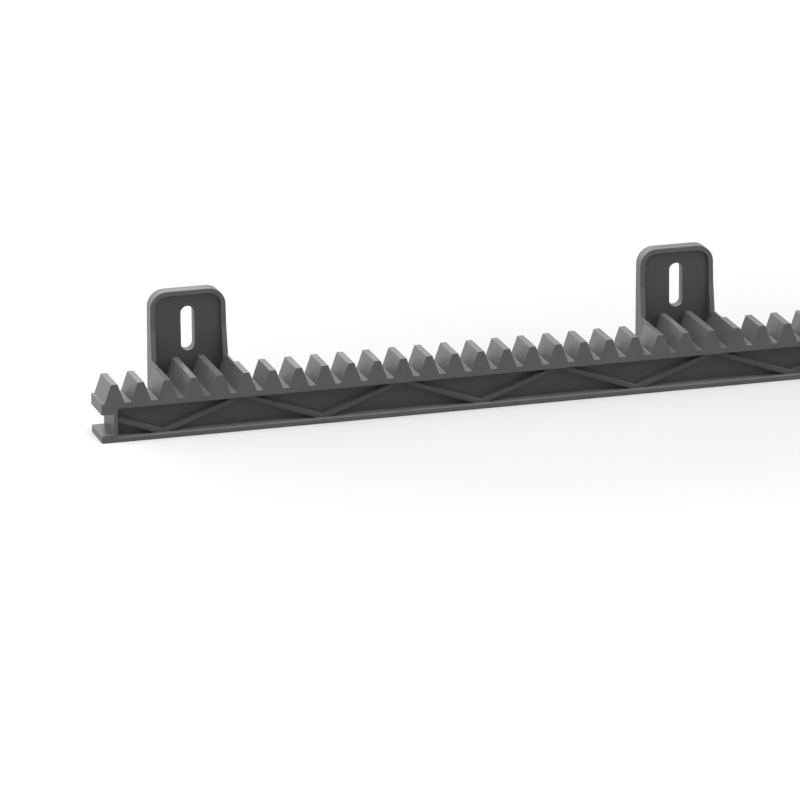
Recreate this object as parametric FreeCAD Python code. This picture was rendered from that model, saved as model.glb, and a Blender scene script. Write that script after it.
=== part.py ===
import FreeCAD, Part
import os
from math import cos, pi, radians, sin, tan

# Sliding gate rack, module 4, one moulded length with a steel bar inside its web.
# While it is built, x runs along the rack from its left end, y back from its ribbed
# front face and z up from the underside of its bottom flange. All sizes are in mm.

# Teeth
module = 4.0
pressure_angle = 20.0
backlash = 0.4
tip_radius = 0.3
root_radius = 0.6
lugs = 2
teeth_per_lug = 19
teeth_before_lug = 4

# Bar section
bar_height = 27.7
bar_width = 20.0
flange_height = 2.0
band_underside = 16.0
pocket_depth = 6.4
pocket_corner = 0.8
left_wall_end = 7.5
right_wall = 4.4

# Zigzag bracing in the pockets
brace_pitch = 38.3
brace_width = 2.2
brace_setback = 3.0
pocket_to_lug = 2.0

# Joint between one length and the next
socket_bottom = 3.5
socket_height = 10.0
socket_depth = 5.8
tongue_clearance = 0.15
tongue_end_gap = 0.4
tongue_chamfer = 0.8

# Fixing lugs
lug_height = 60.0
lug_back = 40.0
lug_side_inset = 0.5
lug_draft = 0.7
lug_corner = 8.0
panel_thickness = 5.4
rim_width = 2.3
rim_thickness = 6.8
foot_thickness = 8.7
foot_top = 42.0
slot_width = 6.6
slot_length = 21.4
slot_centre = 41.4

# Hollows under the teeth of each lug
foot_wall = 3.0
foot_floor = 3.2
foot_ribs = 3
foot_rib = 2.0

# Steel bar moulded into the web
core_thickness = 3.0
core_height = 9.0
core_end_cover = 5.0

# Sizes that follow from those above
pitch = pi * module
teeth = lugs * teeth_per_lug
length = teeth * pitch
addendum = module
dedendum = 1.25 * module
slope = tan(radians(pressure_angle))
tooth_width = pitch / 2 - backlash
tip_half = tooth_width / 2 - addendum * slope
root_half = tooth_width / 2 + dedendum * slope
root_height = bar_height - addendum - dedendum
pocket_right = length - right_wall
lug_half = 1.5 * pitch - lug_side_inset
lug_centres = [(teeth_before_lug + i * teeth_per_lug) * pitch for i in range(lugs)]
panel_front = lug_back - panel_thickness
tongue_length = socket_depth - tongue_end_gap
part_shift = FreeCAD.Vector(-(length + tongue_length) / 2, -lug_back / 2, 0)
past = 1.0
touching = 0.0001


def point(x, y, z):
    return FreeCAD.Vector(x, y, z)


def box(x0, x1, y0, y1, z0, z1):
    """A block between two corners."""
    return Part.makeBox(x1 - x0, y1 - y0, z1 - z0, point(x0, y0, z0))


def rounded_corner(before, here, after, radius):
    """Start, middle and end of the arc that rounds one corner of an outline."""
    if radius == 0:
        return here, here, here
    back = before - here
    back = back * (1 / back.Length)
    ahead = after - here
    ahead = ahead * (1 / ahead.Length)
    half = back.getAngle(ahead) / 2
    inward = back + ahead
    inward = inward * (1 / inward.Length)
    start = here + back * (radius / tan(half))
    end = here + ahead * (radius / tan(half))
    middle = here + inward * (radius / sin(half) - radius)
    return start, middle, end


def outline_prism(corners, y0, y1):
    """A solid from y0 to y1 whose xz outline has (x, z, radius) corners."""
    places = [point(x, y0, z) for x, z, radius in corners]
    arcs = []
    for i, corner in enumerate(corners):
        after = places[(i + 1) % len(corners)]
        arcs.append(rounded_corner(places[i - 1], places[i], after, corner[2]))
    edges = []
    for i, (start, middle, end) in enumerate(arcs):
        if corners[i][2] > 0:
            edges.append(Part.Arc(start, middle, end).toShape())
        start_of_next = arcs[(i + 1) % len(arcs)][0]
        if end.distanceToPoint(start_of_next) > touching:
            edges.append(Part.makeLine(end, start_of_next))
    face = Part.Face(Part.Wire(edges))
    return face.extrude(point(0, y1 - y0, 0))


def tooth_centre(number):
    """Place of a tooth along the rack, counted from 1 at the left end."""
    return (number - 0.5) * pitch


def toothed_bar(first, last, x0, x1, y0, y1):
    """A bar from x0 to x1 that carries the teeth numbered first to last."""
    corners = [(x0, 0, 0), (x1, 0, 0), (x1, root_height, 0)]
    for number in range(last, first - 1, -1):
        centre = tooth_centre(number)
        corners.append((centre + root_half, root_height, root_radius))
        corners.append((centre + tip_half, bar_height, tip_radius))
        corners.append((centre - tip_half, bar_height, tip_radius))
        corners.append((centre - root_half, root_height, root_radius))
    corners.append((x0, root_height, 0))
    return outline_prism(corners, y0, y1)


def bracing(y0, y1):
    """Zigzag ribs between flange and band, the same each way from the middle of the pocket."""
    middle = (left_wall_end + pocket_right) / 2
    rise = band_underside - flange_height
    run = (brace_pitch ** 2 + rise ** 2) ** 0.5
    bays = int(length / brace_pitch / 2) + 1
    ribs = []
    for bay in range(-bays, bays + 1):
        centre = middle + bay * brace_pitch
        tilt = 1 if bay % 2 else -1
        lean = rise / brace_pitch * tilt
        # each rib passes a little into the flange and the band
        reach = brace_pitch / 2 + brace_width
        half = brace_width / 2 * run / brace_pitch
        level = (flange_height + band_underside) / 2
        low = level - reach * lean
        high = level + reach * lean
        corners = [
            (centre - reach, low - half, 0),
            (centre + reach, high - half, 0),
            (centre + reach, high + half, 0),
            (centre - reach, low + half, 0),
        ]
        ribs.append(outline_prism(corners, y0, y1))
    return ribs[0].multiFuse(ribs[1:])


def pocket(x0, x1, y_open, y_floor):
    """The space of one braced pocket, open at y_open and closed at y_floor."""
    inward = 1 if y_floor > y_open else -1
    corners = [
        (x0, flange_height, pocket_corner),
        (x1, flange_height, pocket_corner),
        (x1, band_underside, pocket_corner),
        (x0, band_underside, pocket_corner),
    ]
    space = outline_prism(corners, y_open - inward * past, y_floor)
    rib_face = y_open + inward * brace_setback
    rib_root = y_floor + inward * past
    return space.cut(bracing(min(rib_face, rib_root), max(rib_face, rib_root)))


def front_pocket():
    return pocket(left_wall_end, pocket_right, 0, pocket_depth)


def back_pockets():
    """Pockets in the back, left of, between and right of the lugs."""
    margin = lug_half + lug_spread() + pocket_to_lug
    stops = [left_wall_end]
    for centre in lug_centres:
        stops += [centre - margin, centre + margin]
    stops.append(pocket_right)
    spaces = []
    for i in range(0, len(stops), 2):
        spaces.append(pocket(stops[i], stops[i + 1], bar_width, bar_width - pocket_depth))
    return spaces


def socket():
    """The notch in the left end that takes the tongue of the next length."""
    top = socket_bottom + socket_height
    return box(-past, socket_depth, -past, bar_width + past, socket_bottom, top)


def tongue():
    """The tongue on the right end, with a chamfered nose."""
    low = socket_bottom + tongue_clearance
    high = socket_bottom + socket_height - tongue_clearance
    root = length - right_wall / 2
    nose = length + tongue_length
    corners = [
        (root, low, 0),
        (nose - tongue_chamfer, low, 0),
        (nose, low + tongue_chamfer, 0),
        (nose, high - tongue_chamfer, 0),
        (nose - tongue_chamfer, high, 0),
        (root, high, 0),
    ]
    return outline_prism(corners, 0, bar_width)


def lug_spread():
    """How much wider each side of a lug is at its foot than at tooth height."""
    return bar_height * tan(radians(lug_draft))


def lug_outline(centre, inset, bottom, y0, y1):
    """The drafted outline of a lug with round top corners, made smaller by inset."""
    lean = tan(radians(lug_draft))
    low_half = lug_half + (bar_height - bottom) * lean - inset
    high_half = lug_half - (lug_height - inset - bar_height) * lean - inset
    top = lug_height - inset
    corners = [
        (centre - low_half, bottom, 0),
        (centre + low_half, bottom, 0),
        (centre + high_half, top, lug_corner - inset),
        (centre - high_half, top, lug_corner - inset),
    ]
    return outline_prism(corners, y0, y1)


def lug_plate(centre):
    """The upright plate of a lug, with its thicker foot and its sunk front panel."""
    rim_front = lug_back - rim_thickness
    foot_front = lug_back - foot_thickness
    side = [
        point(0, lug_back, 0),
        point(0, lug_back, lug_height),
        point(0, rim_front, lug_height),
        point(0, rim_front, foot_top),
        point(0, foot_front, bar_height),
        point(0, foot_front, 0),
        point(0, lug_back, 0),
    ]
    across = 2 * lug_half + 2 * lug_spread() + 2 * past
    section = Part.Face(Part.makePolygon(side)).extrude(point(across, 0, 0))
    section.translate(point(centre - across / 2, 0, 0))
    plate = section.common(lug_outline(centre, 0, 0, 0, lug_back))
    panel = lug_outline(centre, rim_width, root_height, foot_front - past, panel_front)
    return plate.cut(panel)


def lug_teeth(centre, first):
    """The four teeth that run back from the bar to the lug."""
    wide = 2 * pitch
    bar = toothed_bar(first, first + 3, centre - wide, centre + wide, bar_width - past, panel_front)
    return bar.common(lug_outline(centre, 0, 0, 0, lug_back))


def foot_hollows(centre):
    """Hollows under the teeth of a lug, open at the bottom, with ribs between them."""
    reach = lug_half - foot_wall
    cell = (2 * reach - foot_ribs * foot_rib) / (foot_ribs + 1)
    top = root_height - foot_floor
    foot_front = lug_back - foot_thickness
    hollows = []
    for i in range(foot_ribs + 1):
        x0 = centre - reach + i * (cell + foot_rib)
        hollows.append(box(x0, x0 + cell, bar_width, foot_front, -past, top))
    return hollows


def slot(centre):
    """The upright slot for the fixing screw, through the panel."""
    half = slot_width / 2
    low = slot_centre - slot_length / 2
    high = slot_centre + slot_length / 2
    corners = [
        (centre - half, low, half),
        (centre + half, low, half),
        (centre + half, high, half),
        (centre - half, high, half),
    ]
    return outline_prism(corners, panel_front - past, lug_back + past)


def core_space():
    """The steel bar's own shape, in the middle of the web."""
    x0 = left_wall_end + core_end_cover
    x1 = pocket_right - core_end_cover
    y0 = (bar_width - core_thickness) / 2
    z0 = (flange_height + band_underside - core_height) / 2
    return box(x0, x1, y0, y0 + core_thickness, z0, z0 + core_height)


def rack_body():
    """The moulding: toothed bar, lugs, end joint and bracing in one piece."""
    body = toothed_bar(1, teeth, 0, length, 0, bar_width)
    added = [tongue()]
    for i, centre in enumerate(lug_centres):
        first = teeth_before_lug + i * teeth_per_lug - 1
        added += [lug_plate(centre), lug_teeth(centre, first)]
    body = body.multiFuse(added)
    removed = [socket(), front_pocket(), core_space()] + back_pockets()
    for centre in lug_centres:
        removed += foot_hollows(centre) + [slot(centre)]
    for space in removed:
        body = body.cut(space)
    return body.removeSplitter()


def steel_core():
    """The flat steel bar that stiffens the moulding."""
    return core_space()


def write(name, shape):
    """Moves a piece to the part's own origin and writes it."""
    solids = shape.Solids
    shape = solids[0] if len(solids) == 1 else Part.makeCompound(solids)
    shape.translate(part_shift)
    shape.exportStep("parts/" + name + ".step")
    print(name, len(solids), shape.isValid(), round(shape.Volume), shape.BoundBox)


os.makedirs("parts", exist_ok=True)
write("rack_body", rack_body())
write("steel_core", steel_core())
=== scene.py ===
from math import cos, radians, sin

import bpy
from mathutils import Matrix, Vector


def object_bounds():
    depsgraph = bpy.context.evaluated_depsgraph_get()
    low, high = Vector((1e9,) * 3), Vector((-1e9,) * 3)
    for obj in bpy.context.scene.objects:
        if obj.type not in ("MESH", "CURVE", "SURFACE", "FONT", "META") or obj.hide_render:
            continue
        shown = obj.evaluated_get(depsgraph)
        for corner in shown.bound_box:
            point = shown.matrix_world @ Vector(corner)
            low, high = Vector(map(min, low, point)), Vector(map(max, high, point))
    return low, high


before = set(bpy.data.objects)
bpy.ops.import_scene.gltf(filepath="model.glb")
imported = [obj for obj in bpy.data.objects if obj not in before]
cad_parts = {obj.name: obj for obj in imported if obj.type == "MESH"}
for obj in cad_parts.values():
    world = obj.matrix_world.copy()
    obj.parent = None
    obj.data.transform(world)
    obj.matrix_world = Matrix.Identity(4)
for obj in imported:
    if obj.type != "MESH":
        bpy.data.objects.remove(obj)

cad_low, cad_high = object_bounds()

# A moulded rack for a sliding gate, on a pale floor in plain studio light. Its shapes are
# the frame's own; what follows gives them their finish, the lamps and the camera.

# View of the photograph: the camera stands to the left of the rack and above it
VIEW_AZIMUTH = radians(15.966)
VIEW_ELEVATION = radians(16.585)
VIEW_ROLL = radians(0.622)
VIEW_DISTANCE = 3.2955
VIEW_AIM = Vector((-0.09884, -0.020, 0.00777))
VIEW_REACH = 50.0
LENS = 318.9
SENSOR = 36.0

# Sizes of the rack that say where its sunk faces lie
BAR_WIDTH = 0.0200
FLANGE_HEIGHT = 0.0020
BAND_UNDERSIDE = 0.0160
TOOTH_ROOTS = 0.0187
LEFT_WALL_END = 0.0075
RIGHT_WALL = 0.0044
TONGUE_LENGTH = 0.0054
POCKET_DEPTH = 0.0064
BRACE_SETBACK = 0.0030
PANEL_THICKNESS = 0.0054

# How near to a sunk face's place a point has to lie, and how far its normal has to point
# the face's way, from 0 to 1
NEAR = 0.0001
FACING = 0.5

# Nylon: a linear grey with faint clouds, a fine grain and softened edges
NYLON = 0.098
NYLON_COOLNESS = 0.01
NYLON_SHADES = (0.93, 1.08)
NYLON_ROUGHNESS = (0.41, 0.49)
NYLON_IOR = 1.5
CLOUD_SCALE = 55.0
CLOUD_DETAIL = 4.0
GRAIN_SCALE = 900.0
GRAIN_DETAIL = 3.0
GRAIN_STRENGTH = 0.28
GRAIN_HEIGHT = 0.00012
EDGE_RADIUS = 0.00035
EDGE_SAMPLES = 6

# Painted shade and painted light: factors that multiply the nylon's grey on the sunk faces, below
# one for the shade painted on lug panels, pocket floors and ribs, above one for the light painted
# on the pockets' upward ledges
PANEL_PAINTED_SHADE = 0.52
POCKET_PAINTED_SHADE = 0.535
RIB_PAINTED_SHADE = 0.64
LEDGE_PAINTED_LIGHT = 1.65

# Steel: a linear grey with fine lines drawn along the bar
STEEL = 0.55
STEEL_SHADES = (0.85, 1.1)
STEEL_ROUGHNESS = (0.28, 0.42)
LINE_SCALE = (8.0, 900.0, 900.0)
LINE_DETAIL = 4.0

# Noise textures: the range that holds most of their values, and their roughness
NOISE_LOW = 0.3
NOISE_HIGH = 0.7
NOISE_ROUGHNESS = 0.55

# Floor and world: their strength as lights, and the floor's own glow where it is seen
WORLD_LIGHT = 0.07
FLOOR_SIZE = 12.0
FLOOR_DROP = 0.0002
FLOOR_GREY = 0.588
FLOOR_BOUNCE = 0.10
GLOW_CENTRE = (0.0, -0.05, 0.0)
GLOW_STRETCH = (0.6, 1.0, 1.0)
GLOW_FROM = 0.085
GLOW_TO = 1.03
GLOW = 0.80
END_GLOW = 0.22
END_REACH = 0.245
END_SHARPNESS = 18.0

# Lamps: name, place, size and power, all turned towards the middle of the rack's base
LAMP_AIM = Vector((0.0, 0.0, 0.0))
LAMPS = (
    ("top", (0, -0.42, 1.96), 1.0, 26.8),
    ("left top", (-0.95, 0, 1.76), 1.0, 20.6),
    ("left front", (-1.34, -1.34, 0.62), 1.0, 5.8),
    ("right front", (1.6, -1.2, 1.4), 2.0, 33.0),
    ("back left", (-1.6, 1.6, 1.2), 2.0, 20.4),
    ("back", (0, 1.87, 0.7), 1.0, 4.8),
)

# Numbers of the mix node's colour sockets, which share their names with its other sockets
MIX_FIRST = 6
MIX_SECOND = 7
MIX_RESULT = 2


def grey(level, coolness=0.0):
    """A nearly neutral colour; coolness takes it a little towards blue."""
    return (level * (1 - coolness), level, level * (1 + coolness), 1.0)


class Nodes:
    """A short way to add nodes to a material or world and link them."""

    def __init__(self, owner):
        owner.use_nodes = True
        self.tree = owner.node_tree
        self.tree.nodes.clear()

    def put(self, value, socket):
        """Links an output to a socket, or sets the socket to a plain value."""
        if isinstance(value, bpy.types.NodeSocket):
            self.tree.links.new(value, socket)
        else:
            socket.default_value = value

    def add(self, kind, **inputs):
        """A new node; inputs are named as its sockets are, with _ for each space."""
        node = self.tree.nodes.new(kind)
        for name, value in inputs.items():
            self.put(value, node.inputs[name.replace("_", " ")])
        return node

    def math(self, operation, *values):
        """A sum on numbers, each an output or a plain number."""
        node = self.add("ShaderNodeMath")
        node.operation = operation
        for value, socket in zip(values, node.inputs):
            self.put(value, socket)
        return node.outputs["Value"]

    def vector_math(self, operation, *values):
        """A node for a sum on vectors; its result can be a vector or a number."""
        node = self.add("ShaderNodeVectorMath")
        node.operation = operation
        for value, socket in zip(values, node.inputs):
            self.put(value, socket)
        return node

    def product(self, *values):
        """All the values multiplied together."""
        result = values[0]
        for value in values[1:]:
            result = self.math("MULTIPLY", result, value)
        return result

    def within(self, value, low, high):
        """One where a value lies between two limits, and zero elsewhere."""
        above = self.math("GREATER_THAN", value, low)
        below = self.math("LESS_THAN", value, high)
        return self.product(above, below)

    def object_place(self):
        """The place on the object, in metres."""
        return self.add("ShaderNodeTexCoord").outputs["Object"]

    def parts(self, vector):
        """The x, y and z of a vector."""
        return list(self.add("ShaderNodeSeparateXYZ", Vector=vector).outputs)

    def noise(self, place, scale, detail):
        """A cloudy texture around a half."""
        node = self.add(
            "ShaderNodeTexNoise",
            Vector=place,
            Scale=scale,
            Detail=detail,
            Roughness=NOISE_ROUGHNESS,
        )
        return node.outputs["Fac"]

    def spread(self, value, low, high, from_low=NOISE_LOW, from_high=NOISE_HIGH):
        """A value moved from one range to another, and kept inside it."""
        node = self.add(
            "ShaderNodeMapRange",
            Value=value,
            From_Min=from_low,
            From_Max=from_high,
            To_Min=low,
            To_Max=high,
        )
        return node.outputs["Result"]

    def blend(self, amount, first, second):
        """A colour between two others."""
        node = self.add("ShaderNodeMix")
        node.data_type = "RGBA"
        self.put(amount, node.inputs["Factor"])
        self.put(first, node.inputs[MIX_FIRST])
        self.put(second, node.inputs[MIX_SECOND])
        return node.outputs[MIX_RESULT]

    def split_by_ray(self, lighting, seen):
        """One shader for the rays that light things, and another for those that see it."""
        rays = self.add("ShaderNodeLightPath").outputs
        looking = self.math("MAXIMUM", rays["Is Camera Ray"], rays["Is Glossy Ray"])
        looking = self.math("MAXIMUM", looking, rays["Is Transmission Ray"])
        mix = self.add("ShaderNodeMixShader", Fac=looking)
        self.put(lighting, mix.inputs[1])
        self.put(seen, mix.inputs[2])
        return mix.outputs["Shader"]

    def output(self, kind, surface):
        """The output node, with its shader."""
        self.add(kind, Surface=surface)


def sunk_painted_shade_and_light(nodes, place, colour):
    """The colour with painted shade on the sunk faces (lug panels, pocket floors and ribs) and
    painted light on the ledges.
    """
    along, back, height = nodes.parts(place)
    middle = cad_low[1] + BAR_WIDTH / 2
    from_middle = nodes.math("ABSOLUTE", nodes.math("SUBTRACT", back, middle))
    geometry = nodes.add("ShaderNodeNewGeometry")
    facing = nodes.parts(geometry.outputs["True Normal"])
    outward = nodes.math("GREATER_THAN", nodes.math("ABSOLUTE", facing[1]), FACING)
    upward = nodes.math("GREATER_THAN", facing[2], FACING)

    panel = cad_high[1] - PANEL_THICKNESS - middle
    pocket = BAR_WIDTH / 2 - POCKET_DEPTH
    rib = BAR_WIDTH / 2 - BRACE_SETBACK
    ledges = (pocket - NEAR, BAR_WIDTH / 2 - 2 * NEAR)
    panel_height = (TOOTH_ROOTS + NEAR, cad_high[2])
    pocket_height = (FLANGE_HEIGHT - NEAR, BAND_UNDERSIDE - NEAR)
    pocket_left = cad_low[0] + LEFT_WALL_END - NEAR
    pocket_right = cad_high[0] - TONGUE_LENGTH - RIGHT_WALL + NEAR
    upward_in_pocket = nodes.product(upward, nodes.within(along, pocket_left, pocket_right))

    # Each sunk face gets its painted shade, and the pocket ledges their painted light, as a
    # factor on the colour
    for painted_level, depths, heights, way in (
        (PANEL_PAINTED_SHADE, (panel - NEAR, panel + NEAR), panel_height, outward),
        (POCKET_PAINTED_SHADE, (pocket - NEAR, pocket + NEAR), pocket_height, outward),
        (RIB_PAINTED_SHADE, (rib - NEAR, rib + NEAR), pocket_height, outward),
        (LEDGE_PAINTED_LIGHT, ledges, pocket_height, upward_in_pocket),
    ):
        deep = nodes.within(from_middle, *depths)
        high = nodes.within(height, *heights)
        painted_mask = nodes.product(deep, high, way)
        painted_node = nodes.vector_math("SCALE", colour)
        nodes.put(nodes.spread(painted_mask, 1.0, painted_level, 0.0, 1.0), painted_node.inputs["Scale"])
        colour = painted_node.outputs["Vector"]
    return colour


def moulded_nylon():
    """Dark grey moulded nylon: satin, faintly mottled, with softened edges."""
    material = bpy.data.materials.new("moulded_nylon")
    nodes = Nodes(material)
    place = nodes.object_place()
    clouds = nodes.noise(place, CLOUD_SCALE, CLOUD_DETAIL)
    grain = nodes.noise(place, GRAIN_SCALE, GRAIN_DETAIL)
    dark, light = [grey(NYLON * shade, NYLON_COOLNESS) for shade in NYLON_SHADES]
    mottled = nodes.blend(nodes.spread(clouds, 0.0, 1.0), dark, light)
    soft_edge = nodes.add("ShaderNodeBevel", Radius=EDGE_RADIUS)
    soft_edge.samples = EDGE_SAMPLES
    bump = nodes.add(
        "ShaderNodeBump",
        Strength=GRAIN_STRENGTH,
        Distance=GRAIN_HEIGHT,
        Height=grain,
        Normal=soft_edge.outputs["Normal"],
    )
    # The base colour carries painted shade on the sunk faces and painted light on the pocket
    # ledges
    shader = nodes.add(
        "ShaderNodeBsdfPrincipled",
        Base_Color=sunk_painted_shade_and_light(nodes, place, mottled),
        Roughness=nodes.spread(clouds, *NYLON_ROUGHNESS),
        IOR=NYLON_IOR,
        Normal=bump.outputs["Normal"],
    )
    nodes.output("ShaderNodeOutputMaterial", shader.outputs["BSDF"])
    return material


def zinc_steel():
    """Zinc-plated flat bar, drawn along its length."""
    material = bpy.data.materials.new("zinc_steel")
    nodes = Nodes(material)
    stretched = nodes.add("ShaderNodeMapping", Vector=nodes.object_place(), Scale=LINE_SCALE)
    lines = nodes.noise(stretched.outputs["Vector"], 1.0, LINE_DETAIL)
    dark, light = [grey(STEEL * shade) for shade in STEEL_SHADES]
    shader = nodes.add(
        "ShaderNodeBsdfPrincipled",
        Base_Color=nodes.blend(lines, dark, light),
        Metallic=1.0,
        Roughness=nodes.spread(lines, *STEEL_ROUGHNESS),
    )
    nodes.output("ShaderNodeOutputMaterial", shader.outputs["BSDF"])
    return material


def dress(node, material):
    """Gives a piece of the frame its material."""
    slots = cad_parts[node].material_slots
    if not slots:
        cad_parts[node].data.materials.append(material)
    for slot in slots:
        slot.material = material


def white_surround():
    """A white room to look at, dimmer as a light than as a background."""
    world = bpy.data.worlds.new("studio")
    bpy.context.scene.world = world
    nodes = Nodes(world)
    dim = nodes.add("ShaderNodeBackground", Color=grey(1.0), Strength=WORLD_LIGHT)
    white = nodes.add("ShaderNodeBackground", Color=grey(1.0), Strength=1.0)
    surround = nodes.split_by_ray(dim.outputs["Background"], white.outputs["Background"])
    nodes.output("ShaderNodeOutputWorld", surround)


def floor_glow(nodes):
    """Glow that grows with the distance from the rack, and quickly past its two ends."""
    place = nodes.object_place()
    oval = nodes.vector_math("MULTIPLY", place, GLOW_STRETCH).outputs["Vector"]
    away = nodes.vector_math("DISTANCE", oval, GLOW_CENTRE).outputs["Value"]
    around = nodes.spread(away, 0.0, GLOW, GLOW_FROM, GLOW_TO)
    along = nodes.math("ABSOLUTE", nodes.parts(place)[0])
    near_end = nodes.spread(along, 0.0, 1.0, 0.0, END_REACH)
    past_end = nodes.math("POWER", near_end, END_SHARPNESS)
    return nodes.math("MULTIPLY_ADD", past_end, END_GLOW, around)


def floor():
    """A pale floor that keeps the shadow under the rack and is white further away."""
    bpy.ops.mesh.primitive_plane_add(size=FLOOR_SIZE, location=(0, 0, -FLOOR_DROP))
    plane = bpy.context.object
    plane.name = "floor"
    material = bpy.data.materials.new("pale_floor")
    nodes = Nodes(material)
    dim = nodes.add("ShaderNodeBsdfDiffuse", Color=grey(FLOOR_BOUNCE))
    matt = nodes.add("ShaderNodeBsdfDiffuse", Color=grey(FLOOR_GREY))
    glow = nodes.add("ShaderNodeEmission", Color=grey(1.0), Strength=floor_glow(nodes))
    glowing = nodes.add("ShaderNodeAddShader")
    nodes.put(matt.outputs["BSDF"], glowing.inputs[0])
    nodes.put(glow.outputs["Emission"], glowing.inputs[1])
    surface = nodes.split_by_ray(dim.outputs["BSDF"], glowing.outputs["Shader"])
    nodes.output("ShaderNodeOutputMaterial", surface)
    plane.data.materials.append(material)


def softbox(name, place, size, power):
    """A square area lamp turned towards the rack."""
    lamp = bpy.data.lights.new(name, "AREA")
    lamp.shape = "SQUARE"
    lamp.size = size
    lamp.energy = power
    holder = bpy.data.objects.new(name, lamp)
    bpy.context.scene.collection.objects.link(holder)
    holder.location = place
    holder.rotation_mode = "QUATERNION"
    holder.rotation_quaternion = (LAMP_AIM - Vector(place)).to_track_quat("-Z", "Y")


def camera():
    """The photograph's view, from its three angles, distance and aim."""
    across = Vector((cos(VIEW_AZIMUTH), -sin(VIEW_AZIMUTH), 0))
    ahead = Vector((
        sin(VIEW_AZIMUTH) * cos(VIEW_ELEVATION),
        cos(VIEW_AZIMUTH) * cos(VIEW_ELEVATION),
        -sin(VIEW_ELEVATION),
    ))
    up = across.cross(ahead)
    right = across * cos(VIEW_ROLL) - up * sin(VIEW_ROLL)
    top = across * sin(VIEW_ROLL) + up * cos(VIEW_ROLL)
    data = bpy.data.cameras.new("camera")
    data.lens = LENS
    data.sensor_width = SENSOR
    data.clip_end = VIEW_REACH
    holder = bpy.data.objects.new("camera", data)
    bpy.context.scene.collection.objects.link(holder)
    turn = Matrix((right, top, -ahead)).transposed()
    holder.matrix_world = Matrix.Translation(VIEW_AIM - ahead * VIEW_DISTANCE) @ turn.to_4x4()
    bpy.context.scene.camera = holder


dress("rack_body", moulded_nylon())
dress("steel_core", zinc_steel())
white_surround()
floor()
for lamp in LAMPS:
    softbox(*lamp)
camera()
bpy.context.scene.view_settings.view_transform = "Standard"
